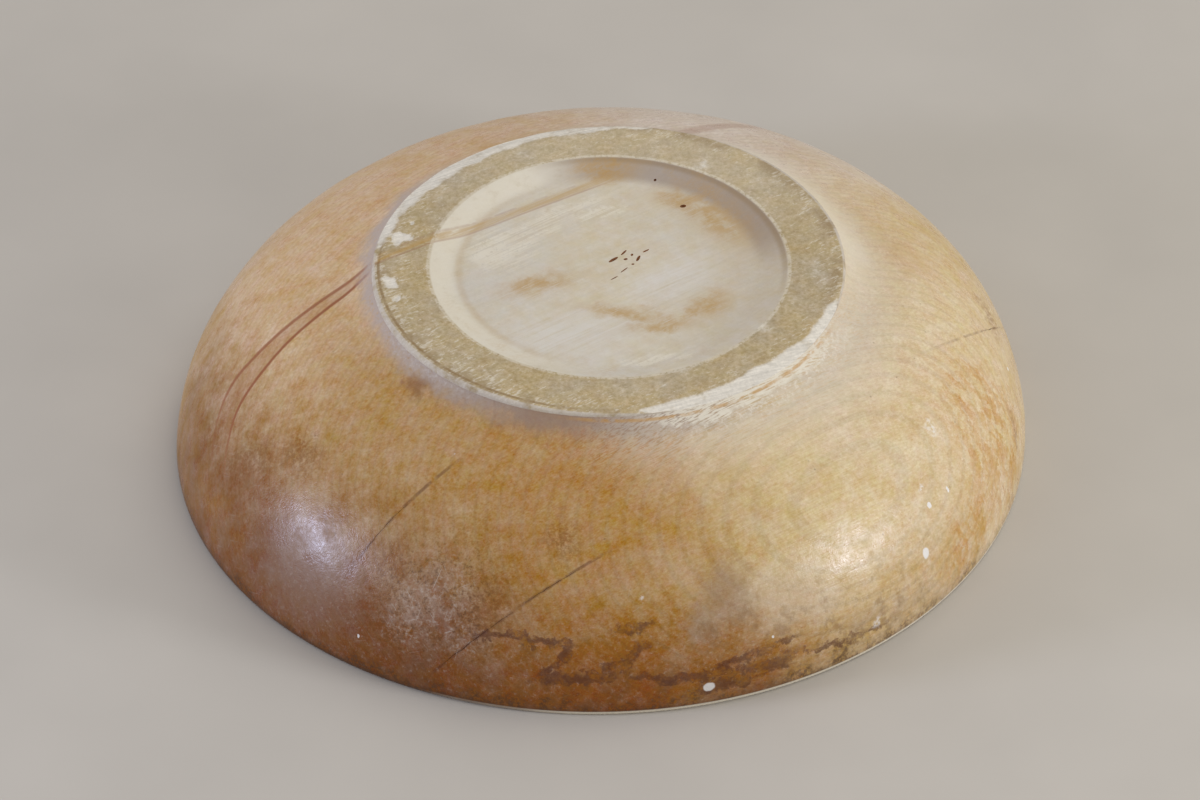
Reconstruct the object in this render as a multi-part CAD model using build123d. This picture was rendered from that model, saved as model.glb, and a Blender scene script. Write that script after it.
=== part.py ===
"""A dough bowl turned from one blank of wood, lying mouth down with its foot on top.

The rim lies on Z = 0 and +Z points up towards the foot. The origin is the centre of the rim.
Sizes are in millimetres. The half section is drawn as radius and height, and turned once.
"""
from build123d import *
import math
import os

# Outside
RIM_DIAMETER = 380.0
HEIGHT = 96.5           # rim plane to foot plane
BELLY_REACH = 105.0     # level half axis of the ellipse that the outside follows
FOOT_STAND = 5.0        # from the crown of that ellipse up to the foot plane

# Foot
FOOT_DIAMETER = 208.0
FOOT_BEVEL = 2.0        # worn bevel on its outer edge, level and upright
FOOT_COVE = 15.0        # level reach of the hollow that sweeps from the belly up to that bevel
COVE_TURN = 0.55        # share of that reach at which the slopes of its two ends meet
RECESS_DIAMETER = 158.0
RECESS_DEPTH = 3.5
RECESS_SLOPE = 11.0     # level width of the sloping side of the recess
RECESS_SWEEP = 4.0      # level reach of the soft turn from that side to the floor, each way

# Inside
RIM_THICKNESS = 10.0
RIM_BEVEL = 2.0         # worn bevel on both edges of the rim, level and upright
FLOOR_THICKNESS = 13.0  # under the recess
INSIDE_REACH = 117.0    # level half axis of the ellipse that the inside follows

# Sizes that follow
RIM_RADIUS = RIM_DIAMETER / 2
MOUTH_RADIUS = RIM_RADIUS - RIM_THICKNESS
FOOT_RADIUS = FOOT_DIAMETER / 2
RECESS_RADIUS = RECESS_DIAMETER / 2
RECESS_FLOOR = HEIGHT - RECESS_DEPTH
BELLY_RISE = HEIGHT - FOOT_STAND
INSIDE_DEPTH = RECESS_FLOOR - FLOOR_THICKNESS


def side_curve(radius, reach, rise, end_radius):
    """Draw a side that stands upright at a radius on the rim plane and leans in along an ellipse.

    It starts above the bevel of the rim and ends at the end radius.
    """
    centre = radius - reach
    start_angle = math.degrees(math.asin(RIM_BEVEL / rise))
    end_angle = math.degrees(math.acos((end_radius - centre) / reach))
    return EllipticalCenterArc((centre, 0), reach, rise, start_angle, arc_size=end_angle - start_angle)


def foot_cove(start, slope):
    """Draw the hollow that leaves the belly along its slope and sweeps up to the edge of the foot."""
    corner = start - slope * (COVE_TURN * FOOT_COVE / slope.X)
    return Bezier(start, corner, (FOOT_RADIUS, HEIGHT - FOOT_BEVEL))


def recess_sweep():
    """Draw the soft turn from the sloping side of the recess to its floor."""
    corner = Vector(RECESS_RADIUS - RECESS_SLOPE, RECESS_FLOOR)
    rise = RECESS_SWEEP * RECESS_DEPTH / RECESS_SLOPE
    return Bezier(corner + Vector(RECESS_SWEEP, rise), corner, corner - Vector(RECESS_SWEEP, 0))


def half_section():
    """Draw half the section of the bowl, from the rim over the outside and back along the inside."""
    outside = side_curve(RIM_RADIUS, BELLY_REACH, BELLY_RISE, FOOT_RADIUS + FOOT_COVE)
    cove = foot_cove(outside @ 1, outside % 1)
    sweep = recess_sweep()
    inside = side_curve(MOUTH_RADIUS, INSIDE_REACH, INSIDE_DEPTH, MOUTH_RADIUS - INSIDE_REACH)
    foot = Polyline(
        cove @ 1,
        (FOOT_RADIUS - FOOT_BEVEL, HEIGHT),
        (RECESS_RADIUS, HEIGHT),
        sweep @ 0,
    )
    floor = Polyline(sweep @ 1, (0, RECESS_FLOOR), (0, INSIDE_DEPTH), inside @ 1)
    rim = Polyline(inside @ 0, (MOUTH_RADIUS + RIM_BEVEL, 0), (RIM_RADIUS - RIM_BEVEL, 0), outside @ 0)
    return make_face([outside, cove, foot, sweep, floor, inside, rim])


os.makedirs("parts", exist_ok=True)
bowl = revolve(Plane.XZ * half_section(), Axis.Z).solid()
bowl.label = "bowl"
export_step(bowl, "parts/bowl.step")
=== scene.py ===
"""An old dough bowl, turned from one blank of wood, lying mouth down on a pale floor."""
import math
import bpy
from functools import partial
from mathutils import Matrix, Vector, noise


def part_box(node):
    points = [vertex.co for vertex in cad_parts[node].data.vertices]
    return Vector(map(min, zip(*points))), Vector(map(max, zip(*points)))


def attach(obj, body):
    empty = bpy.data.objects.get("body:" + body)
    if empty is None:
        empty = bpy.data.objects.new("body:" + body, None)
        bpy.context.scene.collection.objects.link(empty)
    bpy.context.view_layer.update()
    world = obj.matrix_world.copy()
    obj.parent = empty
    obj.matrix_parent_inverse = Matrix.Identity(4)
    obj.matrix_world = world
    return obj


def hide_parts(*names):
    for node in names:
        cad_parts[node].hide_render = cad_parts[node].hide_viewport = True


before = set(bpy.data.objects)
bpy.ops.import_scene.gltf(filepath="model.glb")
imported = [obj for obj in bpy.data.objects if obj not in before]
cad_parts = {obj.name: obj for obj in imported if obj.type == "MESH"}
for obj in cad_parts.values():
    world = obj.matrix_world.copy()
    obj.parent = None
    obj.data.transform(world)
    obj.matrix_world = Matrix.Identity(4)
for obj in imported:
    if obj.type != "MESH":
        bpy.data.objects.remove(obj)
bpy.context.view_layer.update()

bl_info = {
    "name": "Dough Bowl",
    "version": (1, 0, 0),
    "blender": (4, 5, 0),
    "location": "View3D > Sidebar > Dough Bowl",
    "description": "Turns, wears and finishes an old wooden dough bowl, and sets its stage",
    "category": "Add Mesh",
}

MM = 0.001
BOWL_LOW, BOWL_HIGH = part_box("bowl")
RIM_RADIUS = (BOWL_HIGH.x - BOWL_LOW.x) / 2 / MM
HEIGHT = BOWL_HIGH.z / MM

# Sizes are in millimetres and angles in degrees, unless a line says otherwise
FOOT_RADIUS = 104
RECESS_DEPTH = 3.5
# Shares that shape the half section: the soft lip, the run of the bevel and the corner of the cove
LIP_SOFTNESS = 0.4
BEVEL_RUN = 1.3
COVE_CORNER = 0.55
# Faces round the bowl, the gap merged where the turning closes, and the angle of sharp edges
TURN_STEPS = 440
MERGE_GAP = 0.005
SHARP_ANGLE = 40
# Places of two finishes in the list of materials, where the waxed side comes first
INSIDE_FINISH = 1
FOOT_FINISH = 2
# Margins that tell the inside from the outside, how far down the foot reaches and where its face starts
WALL_MARGIN = 3
FLOOR_MARGIN = 1
FOOT_ZONE = 8
FACE_START = 80

# Worn stretches of the foot, as middle and half angle, reach in from its edge and slope
FOOT_WEAR = ((-48, 37, 8.0, 0.3), (129, 53, 8.5, 0.22))
# Stray of their inner edges, how fast it changes, and a depth that no wear reaches
WEAR_STRAY = 1.6
WEAR_STRAY_RATE = 0.09
WEAR_LIMIT = 5
# Flakes off the face of the foot, as place and half size, then how deep, steep and ragged they are
FOOT_CHIPS = ((-92, 19, 5.5), (-95, -12, 4.5), (-92, -24, 2.5), (-87, 31, 2.0))
CHIP_DEPTH = 0.8
CHIP_STEEPNESS = 2.4
CHIP_RAGGEDNESS = 0.9
CHIP_RATE = 0.2
# Dents in the side and its skin, as height and breadth, then their start and rise above the rim
DENTS = {"side": (0.9, 55), "skin": (0.14, 9)}
DENT_START = 2
DENT_RISE = 12
# Drying checks, as lean across the grain, offset, end of the grain and heights cut open
CHECKS = {
    "check_left": (0.16, -46.2, -1, (68.5, 50)),
    "check_upper": (0.5625, -92.7, -1, (60, 48)),
    "check_lower": (0.5625, -93.2, -1, (44.5, 15)),
    "check_back": (0.78, -52.4, 1, (58, 44)),
}
# Stain along each check, as the heights that it reaches and its strength
CHECK_STAINS = {
    "check_left": (84, 40, 0.52),
    "check_upper": (69, 46, 0.52),
    "check_lower": (46, 12, 0.52),
    "check_back": (76, 36, 0.3),
}
CHECK_WIDTH = 0.3
CHECK_DEPTH = 0.8
CHECK_STRAY = 0.5
# Least share of that width, then steps along the wedge that cuts a check, and how far it stands out
CHECK_THINNEST = 0.15
BLADE_STEPS = 40
BLADE_PROUD = 2.0

# Way that the growth rings face and their spacing
RING_FACING = (0.45, -0.5, 0.74)
RING_SPACING = 3.0
# Bends, fibres and pores of the wood, along and across its grain, and how far the bends wander
BEND_SIZE = (160, 45, 45)
FIBRE_SIZE = (50, 1.4, 1.4)
PORE_SIZE = (9, 0.6, 0.6)
WANDER = 3.0
# Patches of the wood, as breadth, detail and roughness of their noise
PATCHES = {
    "broad": (60, 4.0, 0.55),
    "patch": (17, 5.0, 0.6),
    "torn": (7, 5.0, 0.65),
    "speck": (1.8, 3.0, 0.7),
}
SWAY_SIZE = 8
# Range that most of a noise lies in, and how far the edges of stains and of paint stray
NOISE_LOW, NOISE_HIGH = 0.3, 0.7
STAIN_STRAY = 16
PAINT_STRAY = 3
# Redder heartwood on the side: lean, offsets on the left and at the back, and where and how it bends
HEART_LEAN = 0.1
HEART_OFFSET = 72.5
HEART_BACK_OFFSET = 74.5
HEART_BEND_HEIGHT = 62.0
HEART_BEND = 0.03
# Heights between which it widens, its widths there, and the skew of its lines across the foot
HEART_TOP, HEART_LOW = 92, 48
HEART_NARROW, HEART_WIDE = 5.0, 17.0
HEART_SKEW = 0.07
# Those lines, as offset, half width and soft edge: the band, then its upper and lower edge
HEART_LINES = ((55.7, 0.4, 3.2), (58.4, 0.1, 1.0), (53.2, 0.1, 0.8))
# Sizes along each axis of wax runs, scratches on the side, flecks on the foot and strokes of the rasp
RUN_SIZE = (4.5, 13, 1)
SCRATCH_SIZE = (14, 0.5, 1)
FLECK_SIZE = (4, 1.1, 1)
RASP_SIZE = (24, 0.9, 0.9)
# Turns of those scratches, and of the rasp in radians
SCRATCH_TURNS = (25, 78, 140)
RASP_TURN = 0.4
# Spacing of pits, and breadths of crumbs of dirt and of clouds in the floor's paint
PIT_SPACING = 7
CRUMB_SIZE = 1.5
CLOUD_SIZE = 90
# Typical IOR of wax, dry wood and flat paint
SURFACE_IOR = 1.48

# Zones of the waxed side, as colour, bearing, facing and height from start to full, and strength
ALL_HEIGHTS = (-20, -10)
WAX_ZONES = (
    ("waxed_pale", -10, (0.13, 0.71), ALL_HEIGHTS, 1.0),
    ("waxed_chalk", -15, (0.78, 0.98), ALL_HEIGHTS, 0.22),
    ("waxed_gold", 26, (0.86, 0.99), ALL_HEIGHTS, 0.5),
    ("waxed_tan", 105, (0.3, 0.95), ALL_HEIGHTS, 1.0),
    ("waxed_chalk", 74, (0.6, 0.98), ALL_HEIGHTS, 0.8),
    ("waxed_pink", 150, (0.3, 0.95), (30, 66), 1.0),
    ("waxed_amber", -62, (0.78, 0.97), (62, 20), 0.35),
    ("waxed_honey", -93, (0.9, 0.99), ALL_HEIGHTS, 0.4),
    ("waxed_brown", -106, (0.6, 0.98), (58, 4), 1.0),
    ("waxed_red", -140, (0.67, 0.98), (82, 28), 1.0),
)
# Radius at which the distance round the side is measured
ROUND_RADIUS = 185.0
# Marks on the side, as distance round from the front, height, half length, half width and turn
SIDE_STAINS = (
    (-41, 35, 10, 1.3, 3),
    (-22, 34, 9, 1.5, -2),
    (-14, 30, 4, 1.4, 75),
    (-20, 23.5, 7, 1.4, 38),
    (-9, 19.5, 12, 1.8, 2),
    (8, 25, 11, 2.4, 33),
    (15, 40.3, 6, 1.5, 8),
    (28, 17.5, 13, 1.7, -8),
    (53, 18.8, 14, 1.7, 10),
    (76, 22.8, 9, 1.4, 8),
    (108, 14, 18, 1.1, -3),
    (62, 12.5, 18, 3.2, 8),
)
SCUFFS = ((-76, 41, 15, 12, 20), (-62, 33, 9, 6, 0), (-86, 30, 8, 7, 0))
SMUDGES = (
    (-102, 49, 9, 7, 0),
    (-52, 45, 10, 9, 30),
    (-54, 33, 7, 4, 20),
    (-20, 68, 8, 5, 0),
    (-200, 50, 12, 7, 30),
    (-175, 64, 12, 5, 10),
    (313, 50.5, 11, 4, 14),
    (259.5, 28, 9, 2.5, 66),
)
# Grey patches: the first two are dulled wax, the last is painted sheen, a lilac glow round the shine on
# the left
GREY_AND_SHEEN_PATCHES = ((58, 47, 12, 12, 0), (46, 38, 8, 8, 0), (-142, 33, 24, 19, 0))
CHALK_PATCHES = ((86, 40, 18, 11, 0), (100, 34, 12, 7, 0))
RUN_PATCHES = ((238, 36, 32, 34, 0), (195, 20, 26, 14, 20))
# Golden and rusty patches, and splashes and thin smears of paint, as place, half sizes and turn
GOLD_PATCHES = (((137, 26, 79), (11, 11, 8), 0),)
RUST_PATCHES = (((-78, -76, 88), (6, 6, 5), 0),)
PAINT_SPLASHES = (
    ((46.5, -182.2, 10.6), (2.6, 2.6, 1.9), 0),
    ((140.6, -117.3, 30.5), (1.8, 1.8, 2.6), 0),
    ((141.9, -103.2, 45.7), (1.3, 1.3, 1.5), 0),
    ((150.6, -91.8, 44.6), (0.7, 0.7, 3.0), 0),
    ((73.5, -168.6, 27.1), (0.7, 0.7, 0.7), 0),
    ((-61.9, -114.2, 82.0), (0.8, 0.8, 0.8), 0),
    ((-103.7, -158.2, 17.6), (0.5, 0.5, 0.9), 0),
    ((181.1, -2.1, 39.8), (0.8, 0.8, 1.2), 0),
)
PAINT_SMEARS = (
    ((143, -73, 63), (2.8, 2.8, 5.0), 0),
    ((138.3, -101.5, 51), (1.6, 1.6, 1.8), 0),
    ((119, -144, 14), (3.0, 1.6, 3.2), 0),
    ((17.5, -170, 51), (1.2, 1.2, 3.6), 0),
)
# Oil soaked into the recess, places washed white and scraped strokes, as place, half sizes and turn
RECESS_STAINS = (
    ((51, 40, 93), (16, 7, 9), -52),
    ((37, 52, 93), (9, 5, 9), -15),
    ((48, -23, 93), (7, 5, 5), 55),
    ((39, -31, 93), (9, 2, 5), 30),
    ((27, -39, 93), (9, 2.4, 5), 10),
    ((12, -30, 93), (13, 3, 5), -12),
    ((-27, -10, 93), (12, 4, 5), 20),
    ((2, 72, 94.5), (9, 5, 6), 10),
)
WASHED_PLACES = (((-14, -45, 93), (26, 13, 9), 12), ((30, -6, 93), (18, 10, 9), 30))
SCRAPED_PLACES = (
    ((25, -62, 93), (15, 4, 9), 14),
    ((-17, 43, 93), (19, 4, 9), 34),
    ((-2, 42, 93), (13, 3, 9), 20),
    ((-44, 15, 93), (15, 13, 9), 36),
    ((-30, 28, 93), (16, 4, 9), 36),
)
# Scars of the lathe's centre and worm holes, as place, half length, half width, depth and turn
SCARS = (
    (5.2, 7.8, 3.0, 0.9, 0.5, 44),
    (9.8, 13.0, 2.2, 0.5, 0.45, 58),
    (10.6, 8.2, 1.1, 0.8, 0.5, 20),
    (13.4, 11.4, 0.9, 0.6, 0.4, 80),
    (16.2, 8.8, 2.0, 0.6, 0.5, 70),
    (19.6, 14.4, 2.0, 0.5, 0.45, 40),
    (13.8, 4.6, 0.7, 0.5, 0.35, 10),
    (10.0, 0.4, 2.8, 0.35, 0.3, 50),
    (5.6, -5.4, 2.2, 0.3, 0.3, 42),
    (36.3, 47.1, 1.5, 1.1, 1.2, 20),
    (23.9, 65.9, 0.8, 0.6, 0.5, 70),
)
# How far a cutter of scars stands out of the floor, how rough it is and how fast that changes
SCAR_PROUD = 0.1
SCAR_ROUGHNESS = 0.35
SCAR_RATE = 1.7
# With fewer faces than this, the cutters took the bowl away
FEWEST_FACES = 1000

# Soft lights, as azimuth, elevation, distance and side in metres, power in watts and tint
LIGHTS = {
    "left_window": (-164.5, 15.5, 1.6, 0.36, 13.5, "#d3deff"),
    "right_window": (-23, 15.5, 1.6, 0.34, 12.0, "#eaf0ff"),
    "top_light": (40, 62, 1.8, 1.4, 9.0, "#ffffff"),
}
WORLD_TINT = "#fbfbff"
# Width of the camera's sensor, and how far it sees in metres
SENSOR_WIDTH = 36.0
CAMERA_REACH = 20.0


def linear(hex_colour):
    """Turn an sRGB hex colour into linear red, green, blue and alpha."""
    shares = [int(hex_colour[start:start + 2], 16) / 255 for start in (1, 3, 5)]
    return [s / 12.92 if s <= 0.04045 else ((s + 0.055) / 1.055) ** 2.4 for s in shares] + [1.0]


def colour(name, description, hex_colour):
    """Make a colour property with its default."""
    return bpy.props.FloatVectorProperty(
        name=name, description=description, default=linear(hex_colour),
        subtype="COLOR", size=4, min=0.0, max=1.0)


def length(name, description, millimetres):
    """Make a length property with its default, kept in metres."""
    return bpy.props.FloatProperty(
        name=name, description=description, default=millimetres * MM, unit="LENGTH", precision=4)


def angle(name, description, degrees):
    """Make an angle property with its default."""
    return bpy.props.FloatProperty(
        name=name, description=description, default=math.radians(degrees), subtype="ANGLE")


class BowlSizes(bpy.types.PropertyGroup):
    """Sizes of the turned section and of its wear."""
    rim_radius: length("Rim radius", "Centre to the outer side of the rim", RIM_RADIUS)
    height: length("Height", "Rim plane to foot plane", HEIGHT)
    belly_reach: length("Belly reach", "Level half axis of the outside's ellipse", 105)
    foot_stand: length("Foot stand", "Crown of that ellipse up to the foot plane", 5)
    foot_radius: length("Foot radius", "Centre to the edge of the foot", FOOT_RADIUS)
    foot_bevel: length("Foot bevel", "Softened edge of the foot, level and upright", 2)
    foot_cove: length("Foot cove", "Level reach of the hollow below the foot", 15)
    recess_radius: length("Recess radius", "Centre to the lip of the recess", 79)
    recess_depth: length("Recess depth", "Foot plane down to the floor of the recess", RECESS_DEPTH)
    recess_slope: length("Recess slope", "Level width of the sloping side of the recess", 11)
    recess_sweep: length("Recess sweep", "Level reach of the turn from that side to the floor", 4)
    rim_thickness: length("Rim thickness", "Width of the wall at the rim", 10)
    rim_round: length("Rim round", "Softened edges of the rim", 2.5)
    floor_thickness: length("Floor thickness", "Wood left under the recess", 13)
    inside_reach: length("Inside reach", "Level half axis of the inside's ellipse", 117)
    grain: angle("Grain", "Direction of the grain, from X towards Y", 36)
    oval: bpy.props.FloatProperty(
        name="Oval", description="Share by which drying made the bowl longer along its grain",
        default=0.01)
    drift: length("Drift", "How far the foot stands off the centre of the rim", 3.2)


class BowlColours(bpy.types.PropertyGroup):
    """Colours of the wood, its finish and its dirt."""
    waxed_pale: colour("Pale waxed wood", "Thin old wax on the right", "#d0b682")
    waxed_gold: colour("Golden waxed wood", "Thicker wax behind the right of the foot", "#c6a774")
    waxed_tan: colour("Tan waxed wood", "Thin old wax at the back", "#c9b297")
    waxed_chalk: colour("Chalky waxed wood", "Wax gone dull and pale", "#d8c7b3")
    waxed_amber: colour("Amber waxed wood", "Old wax where no other zone lies", "#b38c55")
    waxed_honey: colour("Honey waxed wood", "Thick clear wax at the front", "#a9752a")
    waxed_orange: colour("Orange waxed wood", "Runs and patches of thick wax", "#bb8a3e")
    waxed_brown: colour("Brown waxed wood", "Wax that took up smoke and dirt", "#8f5412")
    waxed_red: colour("Red-brown waxed wood", "Thick wax over redder wood, and smudges", "#7a4a20")
    waxed_pink: colour("Pinkish waxed wood", "Thin wax over the redder heartwood", "#cba87b")
    # This colour is dirt in pits and scuffs, and painted shadow along the rim at the front left
    grime_and_shadow: colour("Grime", "Dirt in pits and scuffs and by the rim", "#4a2c14")
    grime_red: colour("Red-brown stain", "Old spills, and stain along the checks", "#4f1f06")
    check: colour("Check", "Dirt packed into the checks and scars", "#7c4c24")
    scuff: colour("Scuffed wax", "Wax rubbed dull", "#ab968a")
    # This lilac is painted sheen, the pale wall's reflection laid below the foot on the left
    lilac_sheen: colour("Haze", "Lilac bloom below the foot on the left", "#b0a196")
    # Cove is laid as painted shade in the recess, as painted sheen round the left shine, below the foot
    # and on dulled patches
    cove: colour("Cove", "Grey-brown dirt in hollows and dulled patches", "#8f7b6c")
    bloom: colour("Bloom", "Whitish bloom by the foot, flecks and scratches", "#c9bfb0")
    foot: colour("Foot", "Dusty standing face of the foot", "#b8a47c")
    # Olive is dirt by the edge of the foot, and painted shadow under the lip of its recess
    olive: colour("Olive dirt", "Dirt at the edge of the foot and the lip of its recess", "#8c7044")
    # Bare is also laid as painted light on the recess's left slope and on the far side of the foot's
    # face
    bare: colour("Bare wood", "Clean wood at worn edges, flecks and strokes", "#e1d7c0")
    rasped: colour("Rasped wood", "Pale wood of the foot's rasped and worn edge", "#e4dbc9")
    recess: colour("Recess", "Dry washed wood in the recess", "#cfc3ac")
    washed: colour("Washed white", "Wood bleached by washing", "#dad5cc")
    stain: colour("Stain", "Old oil soaked into the recess, and the heartwood's band", "#b48a3e")
    streak: colour("Streak", "Redder heartwood along the grain", "#8f4f28")
    inside: colour("Inside", "Scraped wood of the hollow", "#cdb48c")
    paint: colour("Paint", "Dried splashes of white paint", "#e9e6df")


class StageSettings(bpy.types.PropertyGroup):
    """Floor, lights and camera."""
    floor_side: length("Floor side", "Side of the square floor", 6000)
    floor_colour: colour("Floor", "Plain pale floor", "#c0b8aa")
    world_level: bpy.props.FloatProperty(
        name="World", description="Soft light from all round", default=0.5)
    camera_place: bpy.props.FloatVectorProperty(
        name="Camera place", description="Where the camera stands", default=(-0.0005, -2.0841, 1.7190),
        subtype="TRANSLATION", unit="LENGTH")
    camera_pitch: angle("Camera pitch", "How far the camera looks down", 39.1976)
    camera_roll: angle("Camera roll", "How far the camera is turned on its axis", 0.203)
    camera_lens: bpy.props.FloatProperty(
        name="Lens", description="Focal length on a 36 mm wide sensor", default=180.0, unit="CAMERA")


def bezier(start, corner, end):
    """Give the curve from a start to an end whose slopes meet at a corner."""
    return lambda t: start * (1 - t) ** 2 + corner * 2 * t * (1 - t) + end * t ** 2


def straight(start, end):
    """Give the line from a start to an end."""
    return lambda t: start.lerp(end, t)


def ellipse(centre, reach, rise, start, end):
    """Give an arc of an upright ellipse that stands on the rim plane."""
    return lambda t: Vector((
        centre + reach * math.cos(start + (end - start) * t),
        rise * math.sin(start + (end - start) * t)))


def section(sizes):
    """Give the half section as points of radius and height, from the recess round to the inside."""
    recess_floor = sizes.height - sizes.recess_depth
    corner = Vector((sizes.recess_radius - sizes.recess_slope, recess_floor))
    lip = Vector((sizes.recess_radius, sizes.height))
    soft = LIP_SOFTNESS * sizes.recess_sweep
    sweep_end = corner + (lip - corner) * (sizes.recess_sweep / sizes.recess_slope)
    lip_start = lip - (lip - corner) * (soft / sizes.recess_slope)
    lip_end = lip + Vector((soft, 0))
    sweep_start = corner - Vector((sizes.recess_sweep, 0))

    edge = Vector((sizes.foot_radius, sizes.height))
    edge_start = edge - Vector((BEVEL_RUN * sizes.foot_bevel, 0))
    edge_end = edge - Vector((0, sizes.foot_bevel))
    belly_centre = sizes.rim_radius - sizes.belly_reach
    belly_rise = sizes.height - sizes.foot_stand
    share = (sizes.foot_radius + sizes.foot_cove - belly_centre) / sizes.belly_reach
    belly_top = math.acos(share)
    belly_foot = math.asin(sizes.rim_round / belly_rise)
    cove_end = Vector((sizes.foot_radius + sizes.foot_cove, belly_rise * math.sin(belly_top)))
    fall = belly_rise / sizes.belly_reach / math.tan(belly_top)
    cove_corner = cove_end + Vector((-COVE_CORNER, COVE_CORNER * fall)) * sizes.foot_cove

    mouth = sizes.rim_radius - sizes.rim_thickness
    depth = recess_floor - sizes.floor_thickness
    inside_centre = mouth - sizes.inside_reach
    inside_foot = math.asin(sizes.rim_round / depth)
    belly = ellipse(belly_centre, sizes.belly_reach, belly_rise, belly_top, belly_foot)
    inside = ellipse(inside_centre, sizes.inside_reach, depth, inside_foot, math.pi / 2)
    rim_outer = Vector((sizes.rim_radius, 0))
    rim_inner = Vector((mouth, 0))
    land_outer = rim_outer - Vector((sizes.rim_round, 0))
    land_inner = rim_inner + Vector((sizes.rim_round, 0))
    # Stretches of the section in order, each with its number of edges
    stretches = (
        (straight(Vector((0, recess_floor)), sweep_start), 26),
        (bezier(sweep_start, corner, sweep_end), 6),
        (straight(sweep_end, lip_start), 4),
        (bezier(lip_start, lip, lip_end), 4),
        (straight(lip_end, edge_start), 14),
        (bezier(edge_start, edge, edge_end), 5),
        (bezier(edge_end, cove_corner, cove_end), 15),
        (belly, 76),
        (bezier(belly(1), rim_outer, land_outer), 4),
        (straight(land_outer, land_inner), 2),
        (bezier(land_inner, rim_inner, inside(0)), 4),
        (inside, 40),
        (straight(inside(1), Vector((0, depth))), 10),
    )
    points = [Vector((0, recess_floor))]
    for curve, count in stretches:
        points += [curve((step + 1) / count) for step in range(count)]
    return points


def only(obj):
    """Deselect everything, then select one object and make it active."""
    bpy.ops.object.select_all(action="DESELECT")
    obj.select_set(True)
    bpy.context.view_layer.objects.active = obj


def spun_body(name, points, steps):
    """Turn a half section round the upright axis into a closed body."""
    bpy.ops.object.select_all(action="DESELECT")
    # A small circle, merged at its centre, gives the first point of the section
    bpy.ops.mesh.primitive_circle_add(vertices=3, radius=MM, location=(points[0].x, 0, points[0].y))
    obj = bpy.context.object
    obj.name = name
    obj.data.name = name
    bpy.ops.object.transform_apply(location=True, rotation=True, scale=True)
    bpy.ops.object.mode_set(mode="EDIT")
    bpy.ops.mesh.select_mode(type="VERT")
    bpy.ops.mesh.select_all(action="SELECT")
    bpy.ops.mesh.merge(type="CENTER")
    for before, after in zip(points, points[1:]):
        move = (after.x - before.x, 0, after.y - before.y)
        bpy.ops.mesh.extrude_vertices_move(TRANSFORM_OT_translate={"value": move})
    bpy.ops.object.mode_set(mode="OBJECT")
    turning = obj.modifiers.new("turning", "SCREW")
    turning.steps = steps
    turning.render_steps = steps
    bpy.ops.object.modifier_apply(modifier=turning.name)
    bpy.ops.object.mode_set(mode="EDIT")
    bpy.ops.mesh.select_all(action="SELECT")
    bpy.ops.mesh.remove_doubles(threshold=MERGE_GAP * MM)
    bpy.ops.mesh.normals_make_consistent(inside=False)
    bpy.ops.object.mode_set(mode="OBJECT")
    return obj


def add_node(tree, kind, inputs=None, output=0, **settings):
    """Add a node with its settings, fill its inputs with values or links, and give one output."""
    made = tree.nodes.new("ShaderNode" + kind)
    for name, value in settings.items():
        setattr(made, name, value)
    for key, value in (inputs or {}).items():
        if isinstance(value, bpy.types.NodeSocket):
            tree.links.new(value, made.inputs[key])
        else:
            made.inputs[key].default_value = value
    return made.outputs[output] if made.outputs else made


def new_material(name):
    """Make an empty material and give it with the function that adds its nodes."""
    material = bpy.data.materials.new(name)
    material.use_nodes = True
    material.node_tree.nodes.clear()
    return material, partial(add_node, material.node_tree)


def where(add, *limits):
    """Give a mask that is 1 where each value has passed from its first limit to its second."""
    mask = None
    for value, start, end in limits:
        ramp = add("MapRange", {0: value, 1: start, 2: end}, interpolation_type="SMOOTHSTEP")
        mask = ramp if mask is None else add("Math", {0: mask, 1: ramp}, operation="MULTIPLY")
    return mask


def nearest(add, place, marks):
    """Give how far a place is from the nearest of some oval marks, where 1 is the edge of one."""
    least = None
    for centre, half, turn in marks:
        turned = (0, 0, math.radians(turn))
        near = add("Mapping", {0: place, 1: centre, 2: turned, 3: half}, vector_type="TEXTURE")
        far = add("VectorMath", {0: near}, output=1, operation="LENGTH")
        least = far if least is None else add("Math", {0: least, 1: far}, operation="MINIMUM")
    return least


def per_size(size):
    """Give the scale that draws a pattern at a size in millimetres."""
    return [1 / step for step in size]


def side_marks(marks):
    """Turn marks on the unrolled side into the form that all marks share."""
    return [((along, high, 0), (half, width, 1), turn) for along, high, half, width, turn in marks]


def sheet(add, grain, wander, lean, offset, half, soft, skew=0.0):
    """Give a mask for a thin sheet that runs along the grain, or askew of it, and leans across it."""
    across = add("VectorMath", {0: grain, 1: (skew, 1, lean)}, output=1, operation="DOT_PRODUCT")
    off = add("Math", {0: across, 1: offset}, operation="SUBTRACT")
    wavy = add("Math", {0: off, 1: wander}, operation="ADD")
    gap = add("Math", {0: wavy}, operation="ABSOLUTE")
    return where(add, (gap, half + soft, half))


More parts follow.
